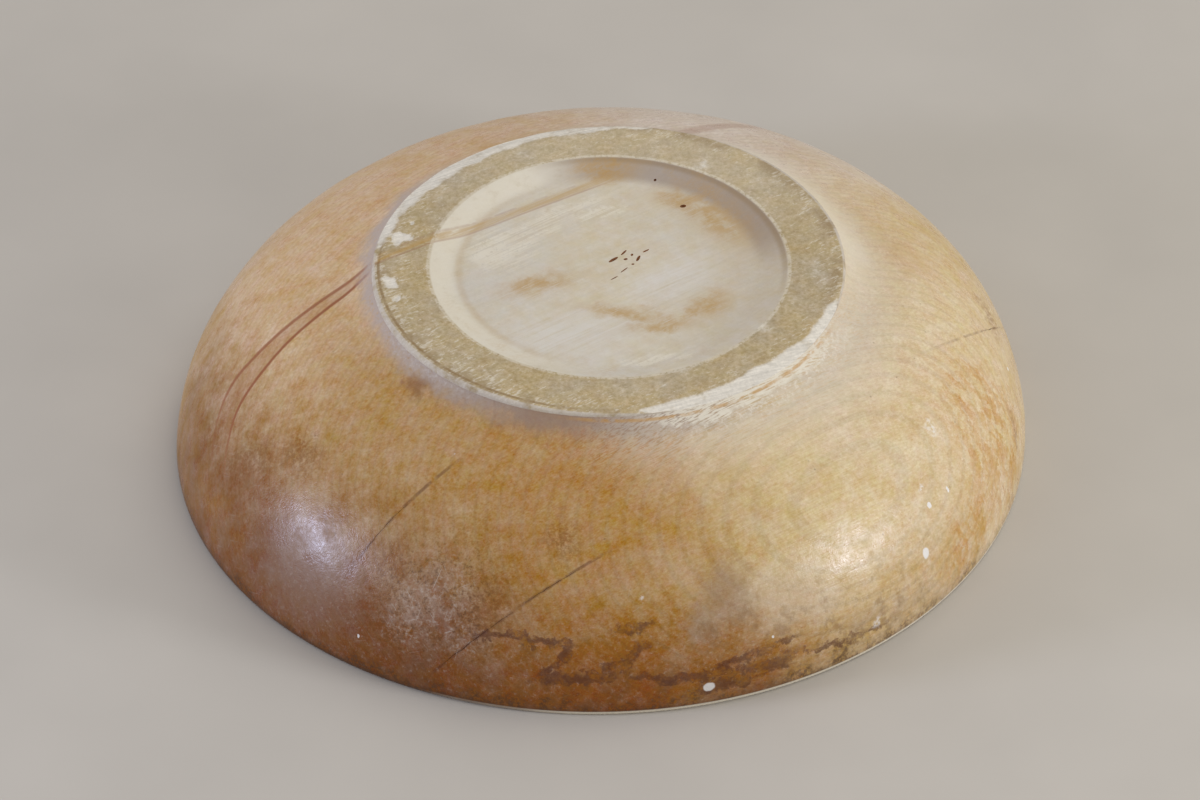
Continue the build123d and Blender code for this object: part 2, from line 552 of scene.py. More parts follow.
class Grain:
    """Coordinates in millimetres and the figure of the wood, for one material."""

    def __init__(self, add, sizes):
        at = add("TexCoord", output=3)
        self.place = add("VectorMath", {0: at, "Scale": 1 / MM}, operation="SCALE")
        self.grain = add("Mapping", {0: self.place, 2: (0, 0, -sizes.grain)})
        self.up = add("SeparateXYZ", {0: self.place}, output=2)
        self.along = add("SeparateXYZ", {0: self.grain}, output=0)
        level = add("Mapping", {0: self.place, 1: (-sizes.drift / MM, 0, 0), 3: (1, 1, 0)})
        self.radius = add("VectorMath", {0: level}, output=1, operation="LENGTH")
        self.facing = add("VectorMath", {0: level}, operation="NORMALIZE")

        # Fibres are long and thin, drawn wide enough to show, and they bend a little
        bend_place = add("Mapping", {0: self.grain, 3: per_size(BEND_SIZE)})
        bend = add("TexNoise", {"Vector": bend_place, "Scale": 1.0, "Detail": 2.0})
        self.wander = add("Math", {0: bend, 1: WANDER, 2: -WANDER / 2}, operation="MULTIPLY_ADD")
        fibre_place = add("Mapping", {0: self.grain, 3: per_size(FIBRE_SIZE)})
        self.fibres = add("TexNoise", {
            "Vector": fibre_place, "Scale": 1.0, "Detail": 3.0, "Roughness": 0.6})
        pore_place = add("Mapping", {0: self.grain, 3: per_size(PORE_SIZE)})
        self.fine = add("TexNoise", {"Vector": pore_place, "Scale": 1.0, "Detail": 2.0})

        # Growth rings are nearly flat sheets: faint ovals on the right of the bowl, and lines elsewhere
        rings = add("VectorMath", {0: self.place, 1: RING_FACING}, output=1, operation="DOT_PRODUCT")
        rings = add("Math", {0: self.wander, 1: 0.5, 2: rings}, operation="MULTIPLY_ADD")
        rings = add("Math", {0: rings, 1: math.tau / RING_SPACING}, operation="MULTIPLY")
        rings = add("Math", {0: rings}, operation="COSINE")
        self.rings = where(add, (rings, 0.2, 1.0))

        # Patches from a hand's breadth down to specks, and a ragged pattern that swings about zero
        for name, (size, detail, roughness) in PATCHES.items():
            inputs = {"Vector": self.place, "Scale": 1 / size, "Detail": detail, "Roughness": roughness}
            setattr(self, name, add("TexNoise", inputs))
        uneven = add("Math", {0: self.torn, 1: 0.9, 2: self.patch}, operation="MULTIPLY_ADD")
        self.ragged = add("Math", {0: uneven, 1: 0.95}, operation="SUBTRACT")

        # The side unrolled, as distance round from the front and height
        x = add("SeparateXYZ", {0: self.place}, output=0)
        y = add("SeparateXYZ", {0: self.place}, output=1)
        front = add("Math", {0: y, 1: -1.0}, operation="MULTIPLY")
        bearing = add("Math", {0: x, 1: front}, operation="ARCTAN2")
        round_side = add("Math", {0: bearing, 1: ROUND_RADIUS}, operation="MULTIPLY")
        self.side = add("CombineXYZ", {0: round_side, 1: self.up})

        # Places set astray by a few millimetres, which make the edges of stains ragged
        self.sway = add("TexNoise", {
            "Vector": self.place, "Scale": 1 / SWAY_SIZE, "Detail": 5.0, "Roughness": 0.7})
        stray = add("CombineXYZ", {0: self.torn, 1: self.sway, 2: self.patch})
        stray = add("VectorMath", {0: stray, 1: (0.5, 0.5, 0.5)}, operation="SUBTRACT")
        far = [STAIN_STRAY] * 3
        level_far = (STAIN_STRAY, STAIN_STRAY, 0)
        little = [PAINT_STRAY] * 3
        self.loose = add("VectorMath", {0: stray, 1: far, 2: self.place}, operation="MULTIPLY_ADD")
        self.loose_side = add(
            "VectorMath", {0: stray, 1: level_far, 2: self.side}, operation="MULTIPLY_ADD")
        self.firm = add("VectorMath", {0: stray, 1: little, 2: self.place}, operation="MULTIPLY_ADD")

    def astray(self, add, value, amount):
        """Give a value, set astray by the ragged pattern times an amount."""
        return add("Math", {0: self.ragged, 1: amount, 2: value}, operation="MULTIPLY_ADD")

    def toward(self, add, azimuth, sway=0.5):
        """Give how far a place faces a direction, from -1 to 1, with a swaying edge."""
        bearing = (math.cos(math.radians(azimuth)), math.sin(math.radians(azimuth)), 0)
        faced = add("VectorMath", {0: self.facing, 1: bearing}, output=1, operation="DOT_PRODUCT")
        loose = add("Math", {0: self.broad, 1: 0.5}, operation="SUBTRACT")
        return add("Math", {0: loose, 1: sway, 2: faced}, operation="MULTIPLY_ADD")


def finish(add, shade, rough, height, depth, shine=0.5):
    """Close a material with its colour, its roughness and a bump of a given depth in millimetres."""
    bump = add("Bump", {"Height": height, "Strength": 1.0, "Distance": depth * MM})
    shader = add("BsdfPrincipled", {
        "Base Color": shade, "Roughness": rough, "Normal": bump,
        "IOR": SURFACE_IOR, "Specular IOR Level": shine})
    add("OutputMaterial", {"Surface": shader})


def layered(add, shade, layers):
    """Lay colours over a shade in order, each by its mask and at its strength."""
    for mask, tint, strength in layers:
        share = add("Math", {0: mask, 1: strength}, operation="MULTIPLY")
        tint = tint if isinstance(tint, bpy.types.NodeSocket) else list(tint)
        shade = add("Mix", {0: share, 6: shade, 7: tint}, output=2, data_type="RGBA")
    return shade


def varied(add, shade, levels, strengths=(), hues=()):
    """Vary a shade by patterns that make it lighter, stronger in colour, or redder and yellower."""
    amounts = {"Color": shade if isinstance(shade, bpy.types.NodeSocket) else list(shade)}
    changes = (("Value", 1.0, levels), ("Saturation", 1.0, strengths), ("Hue", 0.5, hues))
    for name, amount, patterns in changes:
        for pattern, low, high in patterns:
            level = add("MapRange", {0: pattern, 1: NOISE_LOW, 2: NOISE_HIGH, 3: low, 4: high})
            amount = add("Math", {0: amount, 1: level}, operation="MULTIPLY")
        amounts[name] = amount
    return add("HueSaturation", amounts)


def waxed_side(add, wood, colours):
    """Colour the waxed side by zones and runs of thick wax, then vary it all over."""
    swayed = wood.astray(add, wood.up, 30.0)
    zones = []
    for name, bearing, facing, heights, strength in WAX_ZONES:
        zone = where(add, (wood.toward(add, bearing), *facing), (swayed, *heights))
        zones.append((zone, getattr(colours, name), strength))
    run_place = add("Mapping", {0: wood.loose_side, 3: per_size(RUN_SIZE)})
    runs = add("TexNoise", {"Vector": run_place, "Scale": 1.0, "Detail": 4.0, "Roughness": 0.65})
    run_far = nearest(add, wood.loose_side, side_marks(RUN_PATCHES))
    zones.append((where(add, (run_far, 1.4, 0.6), (runs, 0.38, 0.58)), colours.waxed_orange, 0.62))
    shade = layered(add, list(colours.waxed_amber), zones)
    levels = (
        (wood.patch, 0.95, 1.045), (wood.fibres, 0.97, 1.03), (wood.speck, 0.89, 1.09),
        (wood.fine, 0.95, 1.05), (wood.torn, 0.95, 1.05), (wood.rings, 1.02, 0.95))
    strengths = (
        (wood.speck, 1.08, 0.92), (wood.torn, 1.12, 0.88), (wood.patch, 1.1, 0.9),
        (wood.fine, 1.04, 0.96))
    hues = ((wood.sway, 0.976, 1.018), (wood.fine, 0.985, 1.013))
    return varied(add, shade, levels, strengths, hues)


def streaks(add, wood, shade, colours, foot):
    """Draw the redder heartwood on the left and at the back, and the stain beside each drying check."""
    # On the left the heartwood bends below a height and widens on its way down, between two lines
    sunk = add("Math", {0: HEART_BEND_HEIGHT, 1: wood.up}, operation="SUBTRACT")
    sunk = add("Math", {0: sunk, 1: 0.0}, operation="MAXIMUM")
    sunk = add("Math", {0: sunk, 1: sunk}, operation="MULTIPLY")
    curved = add("Math", {0: sunk, 1: HEART_BEND, 2: wood.wander}, operation="MULTIPLY_ADD")
    spread = add("MapRange", {
        0: wood.up, 1: HEART_TOP, 2: HEART_LOW, 3: HEART_NARROW, 4: HEART_WIDE})
    curved_in = add("Math", {0: curved, 1: spread}, operation="ADD")
    middle = add("Math", {0: spread, 1: 0.5, 2: curved}, operation="MULTIPLY_ADD")
    half = add("Math", {0: spread, 1: 0.5}, operation="MULTIPLY")
    leaning = (0, 1, HEART_LEAN)
    across = add("VectorMath", {0: wood.grain, 1: leaning}, output=1, operation="DOT_PRODUCT")
    off = add("Math", {0: across, 1: HEART_OFFSET}, operation="SUBTRACT")
    off = add("Math", {0: off, 1: middle}, operation="ADD")
    off = add("Math", {0: off}, operation="ABSOLUTE")
    off = add("Math", {0: off, 1: half}, operation="SUBTRACT")
    below_foot = (wood.radius, foot, foot + 3)
    side_left = ((wood.along, -60, -76), (wood.up, 30, 58), below_foot)
    outer = sheet(add, wood.grain, curved, HEART_LEAN, HEART_OFFSET, 0.3, 1.4)
    inner = sheet(add, wood.grain, curved_in, HEART_LEAN, HEART_OFFSET, 0.3, 1.3)
    broken = (wood.torn, 0.36, 0.56)
    side_back = ((wood.along, 84, 98), (wood.up, 58, 74), below_foot)
    far_band = sheet(add, wood.grain, wood.wander, HEART_LEAN, HEART_BACK_OFFSET, 1.5, 3.5)
    layers = [
        (where(add, (far_band, 0, 1), *side_back), colours.streak, 0.3),
        (where(add, (off, 1.0, -1.0), *side_left), colours.streak, 0.22),
        (where(add, (outer, 0, 1), *side_left), colours.streak, 0.8),
        (where(add, (inner, 0, 1), *side_left), colours.streak, 0.9),
    ]
    for name, (high, low, strength) in CHECK_STAINS.items():
        lean, offset, sign, _ = CHECKS[name]
        line = sheet(add, wood.grain, 0.0, lean, offset, 0.2, 1.1)
        end_of_grain = (wood.along, 0, sign * 20)
        span = (wood.up, low - 5, low + 5), (wood.up, high + 4, high - 8)
        stained = where(add, (line, 0, 1), broken, end_of_grain, *span)
        layers.append((stained, colours.grime_red, strength))
    return layered(add, shade, layers)


def scuffs(add, wood, shade, colours):
    """Lay smudges, dulled wax and painted sheen on the side, and a place that was scuffed and
    scratched.
    """
    far = nearest(add, wood.loose_side, side_marks(SCUFFS))
    scuffed = where(add, (far, 1.9, 0.2), (wood.torn, 0.25, 0.65))
    rubbed = where(add, (far, 2.0, 0.4), (wood.speck, 0.5, 0.66))
    smoked = where(add, (far, 2.6, 1.0), (wood.speck, 0.48, 0.36), (wood.sway, 0.4, 0.55))
    scratched = where(add, (far, 2.2, 0.6))
    smudge_far = nearest(add, wood.loose_side, side_marks(SMUDGES))
    smudged = where(add, (smudge_far, 1.8, 0.2), (wood.speck, 0.66, 0.4))
    # Dulled wax, and painted sheen round the shine on the left
    grey_and_sheen = where(add, (nearest(add, wood.loose_side, side_marks(GREY_AND_SHEEN_PATCHES)), 1.6, 0.4))
    chalky = where(add, (nearest(add, wood.loose_side, side_marks(CHALK_PATCHES)), 1.6, 0.4))
    layers = [
        (smudged, colours.waxed_red, 0.5),
        (grey_and_sheen, colours.cove, 0.4),
        (chalky, colours.waxed_chalk, 0.28),
        (scuffed, colours.scuff, 0.34),
        (rubbed, colours.bloom, 0.26),
        (smoked, colours.grime_and_shadow, 0.5),
    ]
    for turn in SCRATCH_TURNS:
        turned = (0, 0, math.radians(turn))
        line_place = add("Mapping", {0: wood.side, 2: turned, 3: SCRATCH_SIZE}, vector_type="TEXTURE")
        lines = add("TexNoise", {"Vector": line_place, "Scale": 1.0, "Detail": 1.0})
        thin = where(add, (lines, 0.68, 0.76), (wood.torn, 0.4, 0.55))
        layers.append((where(add, (thin, 0, 1), (wood.up, 70, 50)), colours.bloom, 0.14))
        layers.append((where(add, (thin, 0, 1), (scratched, 0, 1)), colours.bloom, 0.45))
    return layered(add, shade, layers)


def side_dirt_and_rim_shadow(add, wood, shade, colours, foot):
    """Lay stains with darker edges, dirt and painted shadow by the rim and splashes of paint on the
    waxed side.
    """
    far = nearest(add, wood.loose_side, side_marks(SIDE_STAINS))
    stained = where(add, (far, 1.9, 0.3), (wood.torn, 0.36, 0.56))
    stain_edge = where(add, (far, 1.6, 1.2), (far, 0.7, 1.0), (wood.speck, 0.35, 0.6))
    blotched = where(
        add, (wood.toward(add, -82), 0.6, 0.95), (wood.up, 30, 12), (wood.patch, 0.46, 0.6))
    mottled = where(add, (wood.toward(add, -100), 0.2, 0.8), (wood.up, 62, 22), (wood.sway, 0.5, 0.64))
    flecked = where(add, (wood.toward(add, -80), 0.2, 0.7), (wood.up, 62, 22), (wood.speck, 0.58, 0.7))
    low = wood.astray(add, wood.up, 22.0)
    grimy = where(add, (low, 10, 2), (wood.speck, 0.35, 0.6), (wood.toward(add, -95), -0.2, 0.7))
    pits = add("TexVoronoi", {"Vector": wood.place, "Scale": 1 / PIT_SPACING, "Randomness": 1.0})
    pitted = where(add, (pits, 0.09, 0.03), (wood.torn, 0.48, 0.6), (wood.radius, foot + 8, foot + 21))
    # Painted shadow where the rim meets the floor at the front left, laid in the darkest dirt colour
    rim_shadow = where(add, (wood.up, 4.5, 1.0), (wood.toward(add, -125), 0.2, 0.7))
    rim_bare = where(add, (wood.up, 2.8, 2.0), (wood.toward(add, -48), 0.35, 0.75))
    splashed = where(add, (nearest(add, wood.firm, PAINT_SPLASHES), 1.2, 0.85))
    smeared = where(add, (nearest(add, wood.loose, PAINT_SMEARS), 1.6, 0.5), (wood.speck, 0.35, 0.6))
    return layered(add, shade, [
        (mottled, colours.waxed_red, 0.45),
        (flecked, colours.bloom, 0.16),
        (blotched, colours.grime_red, 0.3),
        (stained, colours.grime_red, 0.75),
        (stain_edge, colours.grime_red, 0.5),
        (grimy, colours.grime_and_shadow, 0.75),
        (pitted, colours.grime_and_shadow, 0.4),
        (rim_shadow, colours.grime_and_shadow, 0.7),
        (rim_bare, colours.bare, 0.9),
        (smeared, colours.paint, 0.5),
        (splashed, colours.paint, 0.8),
    ])


def foot_bloom_and_sheen(add, wood, shade, colours, foot):
    """Lay dull bloom below the foot, whitish on the right, painted lilac sheen on the left, and two
    patches.
    """
    out = wood.astray(add, wood.radius, 14.0)
    far = wood.astray(add, wood.radius, 26.0)
    # Greyer and darker in the hollow below the foot at the front, in the cove colour
    darkened = where(add, (out, foot + 12, foot + 2), (wood.toward(add, -100, 0.1), 0.6, 0.95))
    # Painted sheen: a lilac reflection laid below the foot on the left
    sheen_below_foot = where(
        add, (out, foot + 10, foot + 1.5), (wood.toward(add, -172, 0.1), 0.4, 0.85),
        (wood.speck, 0.15, 0.5))
    whitish = where(
        add, (out, foot + 6, foot + 1), (wood.toward(add, -140, 0.1), 0.93, 0.99),
        (wood.speck, 0.5, 0.66))
    right = where(add, (far, foot + 46, foot + 6), (wood.toward(add, -25), 0.35, 0.9))
    streaky = where(
        add, (far, foot + 30, foot + 4), (wood.toward(add, -48, 0.2), 0.6, 0.9),
        (wood.fine, 0.36, 0.54))
    back = where(add, (far, foot + 22, foot + 2), (wood.toward(add, 30), 0.7, 0.95))
    rust = where(add, (nearest(add, wood.loose, RUST_PATCHES), 1.5, 0.5))
    gold = where(add, (nearest(add, wood.loose, GOLD_PATCHES), 1.7, 0.2))
    return layered(add, shade, [
        (gold, colours.waxed_orange, 0.28),
        (darkened, colours.cove, 0.75),
        (sheen_below_foot, colours.lilac_sheen, 0.85),
        (whitish, colours.bloom, 0.5),
        (right, colours.bloom, 0.28),
        (streaky, colours.bloom, 0.4),
        (back, colours.bare, 0.6),
        (rust, colours.waxed_red, 0.6),
    ])


def heartwood(add, wood, colours, strength):
    """Give layers for the redder heartwood where it crosses the foot: a band between two thin lines."""
    reach = (wood.along, 56, 26)
    band, upper, lower = [
        sheet(add, wood.grain, wood.wander, 0.0, *line, HEART_SKEW) for line in HEART_LINES]
    return [
        (where(add, (band, 0, 1), reach, (wood.fibres, 0.25, 0.6)), colours.stain, 1.1 * strength),
        (where(add, (upper, 0, 1), reach, (wood.torn, 0.4, 0.6)), colours.streak, 0.5 * strength),
        (where(add, (lower, 0, 1), reach), colours.streak, 0.6 * strength),
    ]


def foot_base(add, wood, shade, colours, foot):
    """Lay the line round the base of the foot at the front, and cream wood and flecks below it."""
    root = where(
        add, (wood.radius, foot + 0.2, foot + 0.7), (wood.radius, foot + 2.0, foot + 1.2),
        (wood.toward(add, -62, 0.1), 0.72, 0.9), (wood.torn, 0.36, 0.56))
    out = wood.astray(add, wood.radius, 14.0)
    cream = where(
        add, (out, foot + 6, foot + 3), (wood.fine, 0.36, 0.54),
        (wood.toward(add, -54, 0.1), 0.86, 0.97))
    flecked = where(
        add, (wood.radius, foot + 14, foot + 5), (wood.speck, 0.5, 0.66),
        (wood.toward(add, -48, 0.1), 0.84, 0.97))
    return layered(add, shade, [
        (flecked, colours.rasped, 0.5),
        (cream, colours.bare, 0.85),
        (root, colours.waxed_orange, 0.65),
    ])


def dusty_face_and_light(add, wood, colours, foot, recess):
    """Colour the foot's standing face: khaki dust, olive dirt by its edge, pale flecks and painted
    light on its far side.
    """
    levels = (
        (wood.speck, 0.8, 1.16), (wood.fibres, 0.95, 1.05), (wood.torn, 0.9, 1.08),
        (wood.broad, 0.95, 1.05))
    strengths = ((wood.patch, 1.14, 0.86), (wood.speck, 1.14, 0.86))
    shade = varied(add, colours.foot, levels, strengths, ((wood.sway, 0.985, 1.006),))
    fleck_place = add("Mapping", {0: wood.grain, 3: per_size(FLECK_SIZE)})
    flecks = add("TexNoise", {"Vector": fleck_place, "Scale": 1.0, "Detail": 3.0, "Roughness": 0.7})
    outward = add("MapRange", {0: wood.radius, 1: recess + 6, 2: foot - 3, 3: -0.05, 4: 0.04})
    flecks = add("Math", {0: flecks, 1: outward}, operation="ADD")
    left = add("MapRange", {0: wood.toward(add, -170), 1: 0.2, 2: 0.9, 3: 0.0, 4: 0.05})
    flecks = add("Math", {0: flecks, 1: left}, operation="ADD")
    rubbed = where(add, (flecks, 0.56, 0.66), (wood.torn, 0.38, 0.54))
    darkened = where(add, (wood.radius, foot - 10, foot - 2), (wood.patch, 0.42, 0.58))
    line = where(
        add, (wood.radius, foot - 3.6, foot - 2.8), (wood.radius, foot - 1.6, foot - 2.2),
        (wood.toward(add, -160, 0.2), 0.3, 0.7), (wood.torn, 0.35, 0.5))
    # Painted light: the far side of the foot's face laid lighter
    far_side_light = where(add, (wood.toward(add, 80), 0.2, 0.9))
    layers = [
        (far_side_light, colours.bare, 0.14),
        (darkened, colours.olive, 0.55),
        (rubbed, colours.bare, 0.55),
        (line, colours.olive, 0.8),
    ]
    return layered(add, shade, layers + heartwood(add, wood, colours, 0.55))


def washed_recess_light_and_shade(add, wood, colours, recess, slope):
    """Colour the recess: washed wood, cream painted light and brown painted shade on its sloping side,
    and soaked-in oil.
    """
    levels = [(pattern, 0.97, 1.03) for pattern in (wood.patch, wood.fibres, wood.torn, wood.speck)]
    strengths = ((wood.broad, 1.25, 0.75), (wood.torn, 1.2, 0.8))
    shade = varied(add, colours.recess, levels, strengths, ((wood.sway, 0.985, 1.015),))
    washed = where(add, (nearest(add, wood.loose, WASHED_PLACES), 1.9, 0.1), (wood.fibres, 0.25, 0.6))
    scraped = where(
        add, (nearest(add, wood.loose, SCRAPED_PLACES), 1.5, 0.6), (wood.fibres, 0.35, 0.55),
        (wood.speck, 0.3, 0.5))
    soaked = where(
        add, (nearest(add, wood.loose, RECESS_STAINS), 2.6, 0.1), (wood.torn, 0.25, 0.6),
        (wood.fine, 0.1, 0.5))
    yellowed = where(add, (wood.patch, 0.48, 0.66), (wood.broad, 0.42, 0.62), (wood.fine, 0.3, 0.6))
    foot_line = where(
        add, (wood.radius, slope - 4.5, slope - 2.0), (wood.radius, slope + 1.0, slope - 1.5),
        (wood.toward(add, -175, 0.2), 0.3, 0.8))
    # Painted shadow under the lip of the recess on its far side, laid in olive
    lip_shadow = where(
        add, (wood.radius, recess - 4, recess - 1.5), (wood.radius, recess, recess - 0.8),
        (wood.toward(add, 48, 0.2), 0.3, 0.8))
    # Painted shade on the far side of the recess's slope, laid in the cove colour
    shaded = where(add, (wood.radius, slope - 5, slope + 2), (wood.toward(add, 58, 0.2), 0.45, 0.85))
    # Painted shade: darker towards the right of the recess
    right_shade = where(add, (wood.radius, 30, 70), (wood.toward(add, 0, 0.4), 0.3, 0.95))
    # Painted light: the left of the recess's slope laid pale in bare wood
    side = where(
        add, (wood.radius, slope - 3.0, slope + 3.0), (wood.toward(add, 170, 0.2), -0.3, 0.5),
        (wood.torn, 0.15, 0.5))
    layers = [
        (washed, colours.washed, 0.5),
        (scraped, colours.bare, 0.7),
        (side, colours.bare, 0.75),
        (foot_line, colours.stain, 0.18),
        (right_shade, colours.cove, 0.2),
        (shaded, colours.cove, 0.68),
        (lip_shadow, colours.olive, 0.5),
    ]
    layers += heartwood(add, wood, colours, 0.5)
    return layered(add, shade, layers + [(yellowed, colours.stain, 0.3), (soaked, colours.stain, 0.74)])


def worn_edges(add, wood, shade, colours, foot):
    """Lay bare wood over a shade, where the edge of the foot was rasped, chipped or rubbed."""
    worn = add("Attribute", output=2, attribute_name="worn")
    torn_wear = wood.astray(add, worn, 1.2)
    bare = where(add, (torn_wear, 0.15, 0.6))
    clean = where(add, (torn_wear, 0.25, 0.8), (wood.torn, 0.3, 0.5))
    edge = where(add, (wood.radius, foot - 1.3, foot - 0.6), (wood.torn, 0.25, 0.5))
    turned = (0, 0, RASP_TURN)
    rasp_place = add("Mapping", {0: wood.place, 2: turned, 3: RASP_SIZE}, vector_type="TEXTURE")
    rasp = add("TexNoise", {"Vector": rasp_place, "Scale": 1.0, "Detail": 2.0})
    cut_wood = varied(add, colours.rasped, ((rasp, 0.84, 1.08), (wood.speck, 0.88, 1.07)))
    return layered(add, shade, [
        (edge, colours.bloom, 0.7),
        (bare, cut_wood, 0.62),
        (clean, cut_wood, 0.9),
    ])


def old_waxed_wood(sizes, colours):
    """Pale hardwood under many years of wax, which gives a soft shine and amber to brown patches."""
    material, add = new_material("old_waxed_sycamore")
    wood = Grain(add, sizes)
    foot = sizes.foot_radius / MM
    shade = waxed_side(add, wood, colours)
    shade = streaks(add, wood, shade, colours, foot)
    shade = foot_bloom_and_sheen(add, wood, shade, colours, foot)
    shade = foot_base(add, wood, shade, colours, foot)
    shade = scuffs(add, wood, shade, colours)
    shade = side_dirt_and_rim_shadow(add, wood, shade, colours, foot)
    waxed = add("MapRange", {0: wood.sway, 1: 0.32, 2: 0.68, 3: 0.2, 4: 0.46})
    dull = where(add, (wood.radius, foot + 14, foot + 2))
    rough = add("Mix", {0: dull, 2: waxed, 3: 0.6})
    grainy = add("Math", {0: wood.fine, 1: 0.4, 2: wood.speck}, operation="MULTIPLY_ADD")
    grainy = add("Math", {0: wood.torn, 1: 1.2, 2: grainy}, operation="MULTIPLY_ADD")
    finish(add, shade, rough, grainy, 0.11, 0.44)
    return material


def dry_washed_wood(sizes, colours):
    """Pale hardwood left dry on the foot, washed in its recess and dusty on its face, so it is matt."""
    # Painted light and shade lie on the recess's slope, and painted light on the far side of the face
    material, add = new_material("dry_washed_sycamore")
    wood = Grain(add, sizes)
    foot = sizes.foot_radius / MM
    recess = sizes.recess_radius / MM
    slope = recess - sizes.recess_slope / MM
    face = dusty_face_and_light(add, wood, colours, foot, recess)
    shade = worn_edges(add, wood, face, colours, foot)
    hollow = where(add, (wood.radius, recess + 0.5, recess - 0.5))
    lip = where(
        add, (wood.radius, recess - 0.4, recess + 0.3), (wood.radius, recess + 1.8, recess + 1.0),
        (wood.speck, 0.3, 0.55))
    floor = washed_recess_light_and_shade(add, wood, colours, recess, slope)
    shade = layered(add, shade, [(hollow, floor, 1.0), (lip, colours.bare, 0.45)])
    rough = add("MapRange", {0: wood.torn, 1: NOISE_LOW, 2: NOISE_HIGH, 3: 0.75, 4: 0.88})
    grainy = add("Math", {0: wood.fibres, 1: 0.8, 2: wood.speck}, operation="MULTIPLY_ADD")
    finish(add, shade, rough, grainy, 0.16)
    return material


def scraped_inside(sizes, colours):
    """Pale hardwood, scraped and washed clean, so it is dry, even and streaked by its fibres."""
    material, add = new_material("scraped_sycamore")
    wood = Grain(add, sizes)
    levels = (
        (wood.fibres, 0.92, 1.05), (wood.patch, 0.94, 1.05), (wood.fine, 0.96, 1.03),
        (wood.broad, 0.94, 1.05))
    shade = varied(add, colours.inside, levels, ((wood.patch, 1.06, 0.94), (wood.torn, 1.05, 0.95)))
    rough = add("MapRange", {0: wood.patch, 1: NOISE_LOW, 2: NOISE_HIGH, 3: 0.5, 4: 0.65})
    finish(add, shade, rough, wood.fibres, 0.08)
    return material


def dirty_wood(colours):
    """Bare wood in the checks and scars, packed with old dirt, so it is dark and matt."""
    material, add = new_material("dirt_filled_check")
    at = add("TexCoord", output=3)
    crumbs = add("TexNoise", {"Vector": at, "Scale": 1 / (CRUMB_SIZE * MM), "Detail": 2.0})
    shade = varied(add, colours.check, ((crumbs, 0.75, 1.2),))
    rough = add("MapRange", {0: crumbs, 1: NOISE_LOW, 2: NOISE_HIGH, 3: 0.8, 4: 0.95})
    finish(add, shade, rough, crumbs, 0.1)
    return material


def painted_floor(tint):
    """Board painted in a flat pale colour, which is matt and nearly even."""
    material, add = new_material("flat_painted_board")
    at = add("TexCoord", output=3)
    cloud = add("TexNoise", {"Vector": at, "Scale": 1 / (CLOUD_SIZE * MM), "Detail": 3.0})
    shade = varied(add, tint, ((cloud, 0.97, 1.03),))
    rough = add("MapRange", {0: cloud, 1: NOISE_LOW, 2: NOISE_HIGH, 3: 0.7, 4: 0.8})
    finish(add, shade, rough, cloud, 0.05, 0.2)
    return material


def weigh(obj, name, weight):
    """Make a vertex group whose weights follow a rule of each vertex's place in millimetres."""
    group = obj.vertex_groups.new(name=name)
    for vertex in obj.data.vertices:
        share = weight(vertex.co / MM)
        if share > 0.0:
            group.add([vertex.index], min(share, 1.0), "REPLACE")
    return group.name


def displace(obj, group, strength, direction="NORMAL", cloud=None):
    """Push a vertex group by a length in millimetres, evenly or by clouds of a size in millimetres."""
    push = obj.modifiers.new(group, "DISPLACE")
    push.vertex_group = group
    push.strength = strength * MM
    push.direction = direction
    push.mid_level = 0.0
    if cloud:
        push.mid_level = 0.5
        push.texture = bpy.data.textures.new(group, "CLOUDS")
        push.texture.noise_scale = cloud * MM
        push.texture.noise_depth = 3
    only(obj)
    bpy.ops.object.modifier_apply(modifier=push.name)


def foot_drop(place):
    """Give how far, in millimetres, wear has lowered a place on the foot."""
    if place.z < HEIGHT - FOOT_ZONE or place.xy.length < FACE_START:
        return 0.0
    bearing = math.degrees(math.atan2(place.y, place.x))
    radius = place.xy.length
    drop = 0.0
    for middle, half, reach, slope in FOOT_WEAR:
        off = (bearing - middle + 180) % 360 - 180
        if abs(off) < half:
            inner = FOOT_RADIUS - reach * math.sqrt(1 - (off / half) ** 2)
            inner += WEAR_STRAY * noise.noise(place * WEAR_STRAY_RATE)
            plane = HEIGHT - slope * (radius - inner)
            drop = max(drop, min(place.z - plane, slope * (radius - inner)))
    for x, y, half in FOOT_CHIPS:
        near = (place.xy - Vector((x, y))).length / half
        near += CHIP_RAGGEDNESS * noise.noise(place * CHIP_RATE)
        drop = max(drop, CHIP_DEPTH * min(1.0, max(0.0, CHIP_STEEPNESS * (1 - near))))
    return drop


